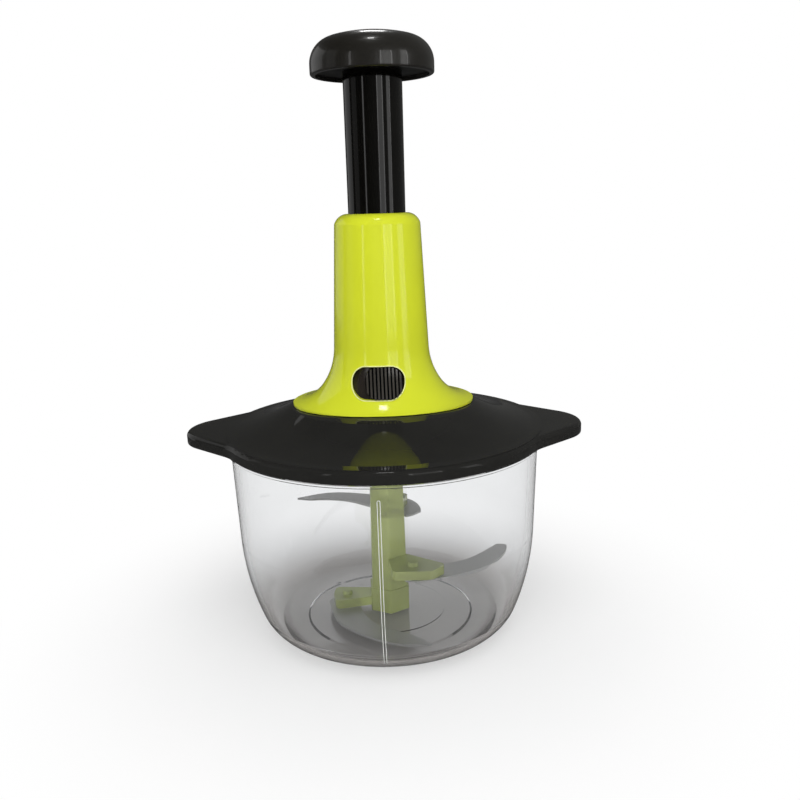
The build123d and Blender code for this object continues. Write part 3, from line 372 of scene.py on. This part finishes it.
def make_rib():
    """Thin line down the bowl's front: two beads that join in a round top, pale to paint a bright
    streak.
    """
    def spot(across, z):
        r = bowl_radius(z)
        return Vector((r * cos(RIB_TURN) - across * sin(RIB_TURN),
                       r * sin(RIB_TURN) + across * cos(RIB_TURN), z))

    rise = RIB_HIGH - RIB_LOW
    path = [spot(-RIB_HALF, RIB_LOW + rise * i / RIB_STEPS) for i in range(RIB_STEPS + 1)]
    path += [spot(-RIB_HALF * cos(a * pi / RIB_TOP_STEPS),
                  RIB_HIGH + RIB_HALF * sin(a * pi / RIB_TOP_STEPS))
             for a in range(1, RIB_TOP_STEPS)]
    path += [spot(RIB_HALF, RIB_HIGH - rise * i / RIB_STEPS) for i in range(RIB_STEPS + 1)]
    piece = tube_mesh("bowl_rib", path, RIB_BEAD, "rib", 8)
    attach(piece, "bowl_body")


WINDOW_Z, WINDOW_TURN = 0.1262, radians(-3.5)
LIP_HALF_W, LIP_HALF_H, LIP_CORNER = 0.01205, 0.0071, 0.0067
LIP_BEAD = 0.00030
LIP_PROUD = 0.00002             # the bead's middle line over the column's surface
LIP_STEP = 0.0008
CORNER_STEPS = 12


def make_window_lip():
    """Rounded lip of the lock window, laid on the column's own surface, in a paler lime that
    paints the highlight along the window's edge.
    """
    column = nodes["column"]
    surface = BVHTree.FromPolygons([v.co for v in column.data.vertices],
                                   [p.vertices for p in column.data.polygons])
    outline = []
    for quarter, (sx, sz) in enumerate(((1, 1), (-1, 1), (-1, -1), (1, -1))):
        for k in range(CORNER_STEPS + 1):
            a = (quarter + k / CORNER_STEPS) * pi / 2
            outline.append((sx * (LIP_HALF_W - LIP_CORNER) + LIP_CORNER * cos(a),
                            sz * (LIP_HALF_H - LIP_CORNER) + LIP_CORNER * sin(a)))
    outline.append(outline[0])
    across = Vector((cos(WINDOW_TURN), sin(WINDOW_TURN), 0.0))
    inward = Vector((-sin(WINDOW_TURN), cos(WINDOW_TURN), 0.0))
    path = []
    for (u0, w0), (u1, w1) in zip(outline, outline[1:]):
        count = max(1, int(((u1 - u0) ** 2 + (w1 - w0) ** 2) ** 0.5 / LIP_STEP))
        for k in range(count):
            u, w = u0 + (u1 - u0) * k / count, w0 + (w1 - w0) * k / count
            start = across * u + Vector((0, 0, WINDOW_Z + w)) - inward * 0.08
            hit = surface.ray_cast(start, inward)[0]
            path.append(hit - inward * LIP_PROUD)
    path.append(path[0].copy())
    piece = tube_mesh("window_lip", path, LIP_BEAD, "lip", 8)
    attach(piece, "lid_body")


make_spring()
make_rib()
make_window_lip()

# ------------------------------------------------------------------ floor
TABLE_WITH_PAINTED_SHADOW = (0.46, 0.43, 0.41)      # grey table seen through the bowl, made darker near the piece as a painted shadow
TABLE_EDGE = (0.60, 0.60, 0.60)
DARK_ROOM = (0.10, 0.10, 0.10)  # the floor in reflections


def make_floor():
    """Pale paper that turns to plain white away from the piece; through the bowl it shows a grey
    table with a painted shadow near the piece.
    """
    bpy.ops.mesh.primitive_circle_add(vertices=96, radius=6.0, fill_type="NGON",
                                      location=(0, 0, -0.0002))
    floor = bpy.context.object
    floor.name = "floor"
    mat, tree, shader, coords = new_material("floor paper")
    shader.inputs["Roughness"].default_value = 0.8
    shader.inputs["Specular IOR Level"].default_value = 0.2
    ray = tree.nodes.new("ShaderNodeLightPath")
    away = tree.nodes.new("ShaderNodeVectorMath")
    away.operation = "LENGTH"
    tree.links.new(coords, away.inputs[0])
    distance = away.outputs["Value"]
    paper = ramp(tree, noise(tree, coords, 8.0, 4.0), [(0.3, 0.90), (0.7, 0.92)])
    paper = mix_color(tree, ray.outputs["Is Glossy Ray"], paper, DARK_ROOM)
    # painted shadow: through the bowl the table is darker near the piece and lighter farther out
    table_and_painted_shadow = ramp(tree, distance, [(0.070, TABLE_WITH_PAINTED_SHADOW), (0.115, TABLE_EDGE)], "EASE")
    base = mix_color(tree, ray.outputs["Is Transmission Ray"], paper, table_and_painted_shadow)
    tree.links.new(base, shader.inputs["Base Color"])

    def whiteness(kind, start, stop, low, high):
        """Share of plain white by the distance from the piece, for one kind of ray."""
        share = map_range(tree, distance, start, stop, low, high, "SMOOTHSTEP")
        return math_node(tree, "MULTIPLY", share, ray.outputs[kind])

    # through the bowl, less plain white near the piece keeps the painted shadow dark
    white = math_node(tree, "ADD",
                      whiteness("Is Camera Ray", 0.070, 0.20, 0.40, 1.0),
                      whiteness("Is Transmission Ray", 0.050, 0.17, 0.05, 0.9))
    glow = tree.nodes.new("ShaderNodeEmission")
    surface = mix_shader(tree, white, shader.outputs[0], glow.outputs[0])
    tree.links.new(surface, find_node(tree, "OUTPUT_MATERIAL").inputs["Surface"])
    floor.data.materials.append(mat)


make_floor()

# ------------------------------------------------------------------ lamps
AIM = 0.14                      # height that every lamp points at
# name, azimuth, elevation, distance, width, height, level, and which rays see it;
# azimuth 0 is at the camera and grows to its right
LAMPS = (
    ("front softbox", 5, 20, 1.4, 1.2, 1.0, 1.75, "soft"),
    ("top softbox", 10, 66, 1.3, 0.9, 0.9, 3.1, "soft"),
    ("window right", 28, 12, 1.5, 0.55, 0.8, 1.0, "gloss"),
    ("window right edge", 17, 12, 1.45, 0.05, 0.8, 3.0, "gloss"),
    ("window right end", 37, 12, 1.45, 0.05, 0.8, 2.2, "gloss"),
    ("window far right", 60, 12, 1.5, 0.30, 0.9, 1.3, "gloss"),
    ("window far right edge", 68, 12, 1.45, 0.04, 0.8, 4.0, "gloss"),
    ("window left", -38, 12, 1.5, 0.12, 0.8, 1.6, "gloss"),
    ("pale wall left", -122, 14, 1.5, 1.2, 1.1, 0.42, "gloss"),
    ("pale wall left end", -78, 14, 1.5, 0.6, 1.1, 0.16, "gloss"),
    ("lamp above", 0, 80, 1.3, 0.16, 0.16, 14.0, "gloss"),
    ("lamp behind", 180, 52, 1.3, 0.22, 0.2, 9.0, "gloss"),
    ("pane one", 10, 17, 1.5, 0.16, 0.12, 4.0, "glass"),
    ("pane two", 30, 16, 1.5, 0.2, 0.12, 3.0, "glass"),
    ("pane three", -30, 16, 1.5, 0.16, 0.12, 4.0, "glass"),
)
for name, azimuth, elevation, away, width, height, level, kind in LAMPS:
    data = bpy.data.lights.new(name, "AREA")
    data.shape = "RECTANGLE"
    data.size, data.size_y = width, height
    data.energy = level * pi * width * height
    lamp = bpy.data.objects.new(name, data)
    bpy.context.scene.collection.objects.link(lamp)
    a, e = radians(azimuth), radians(elevation)
    lamp.location = (away * sin(a) * cos(e), -away * cos(a) * cos(e), AIM + away * sin(e))
    to_piece = Vector((0, 0, AIM)) - lamp.location
    lamp.rotation_euler = to_piece.to_track_quat("-Z", "Y").to_euler()
    lamp.visible_camera = False
    lamp.visible_diffuse = kind == "soft"
    lamp.visible_glossy = kind == "gloss"
    lamp.visible_transmission = kind == "glass"


# ------------------------------------------------------------------ room
def make_world():
    """Soft even light, white to the camera and a dim graded room in reflections."""
    world = bpy.data.worlds.new("studio")
    bpy.context.scene.world = world
    world.use_nodes = True
    tree = world.node_tree
    room = tree.nodes["Background"]
    room.inputs["Color"].default_value = (1, 1, 1, 1)
    room.inputs["Strength"].default_value = 0.52
    ray = tree.nodes.new("ShaderNodeLightPath")

    def over(below, kind, color, strength):
        """Background that takes over for one kind of ray; strength is a number or a socket."""
        top = tree.nodes.new("ShaderNodeBackground")
        top.inputs["Color"].default_value = (*color, 1)
        if isinstance(strength, float):
            top.inputs["Strength"].default_value = strength
        else:
            tree.links.new(strength, top.inputs["Strength"])
        return mix_shader(tree, ray.outputs[kind], below, top.outputs[0])

    facing = tree.nodes.new("ShaderNodeSeparateXYZ")
    tree.links.new(tree.nodes.new("ShaderNodeTexCoord").outputs["Generated"], facing.inputs[0])
    dim = map_range(tree, facing.outputs["X"], -0.6, 0.7, 0.03, 0.13)
    sky = over(room.outputs[0], "Is Glossy Ray", (1, 1, 0.97), dim)
    sky = over(sky, "Is Transmission Ray", (1, 1, 1), 0.85)
    sky = over(sky, "Is Camera Ray", (1, 1, 1), 1.0)
    tree.links.new(sky, find_node(tree, "OUTPUT_WORLD").inputs["Surface"])


make_world()

# ------------------------------------------------------------------ camera
DISTANCE, HEIGHT = 0.39502, 0.20484
PITCH, ROLL, YAW = radians(15.2336), radians(1.6777), radians(1.0241)
FOCAL_PX, CX, CY = 843.91, 398.8, 430.16    # in pixels of a square picture
PICTURE_PX = 800.0
SENSOR = 36.0                               # millimetres
TURN = radians(1.2)                         # the camera's place round the piece
data = bpy.data.cameras.new("camera")
data.sensor_width = SENSOR
data.lens = SENSOR * FOCAL_PX / PICTURE_PX
data.shift_x = (PICTURE_PX / 2 - CX) / PICTURE_PX
data.shift_y = (CY - PICTURE_PX / 2) / PICTURE_PX
data.clip_start = 0.01
camera = bpy.data.objects.new("camera", data)
bpy.context.scene.collection.objects.link(camera)
forward = Vector((sin(YAW) * cos(PITCH), cos(YAW) * cos(PITCH), -sin(PITCH)))
right = Vector((cos(YAW), -sin(YAW), 0.0))
up = Vector((sin(YAW) * sin(PITCH), cos(YAW) * sin(PITCH), cos(PITCH)))
x_axis = cos(ROLL) * right - sin(ROLL) * up
y_axis = sin(ROLL) * right + cos(ROLL) * up
place = Matrix((
    (x_axis[0], y_axis[0], -forward[0], 0.0),
    (x_axis[1], y_axis[1], -forward[1], -DISTANCE),
    (x_axis[2], y_axis[2], -forward[2], HEIGHT),
    (0.0, 0.0, 0.0, 1.0),
))
camera.matrix_world = Matrix.Rotation(TURN, 4, "Z") @ place
bpy.context.scene.camera = camera
bpy.context.scene.view_settings.view_transform = "Standard"
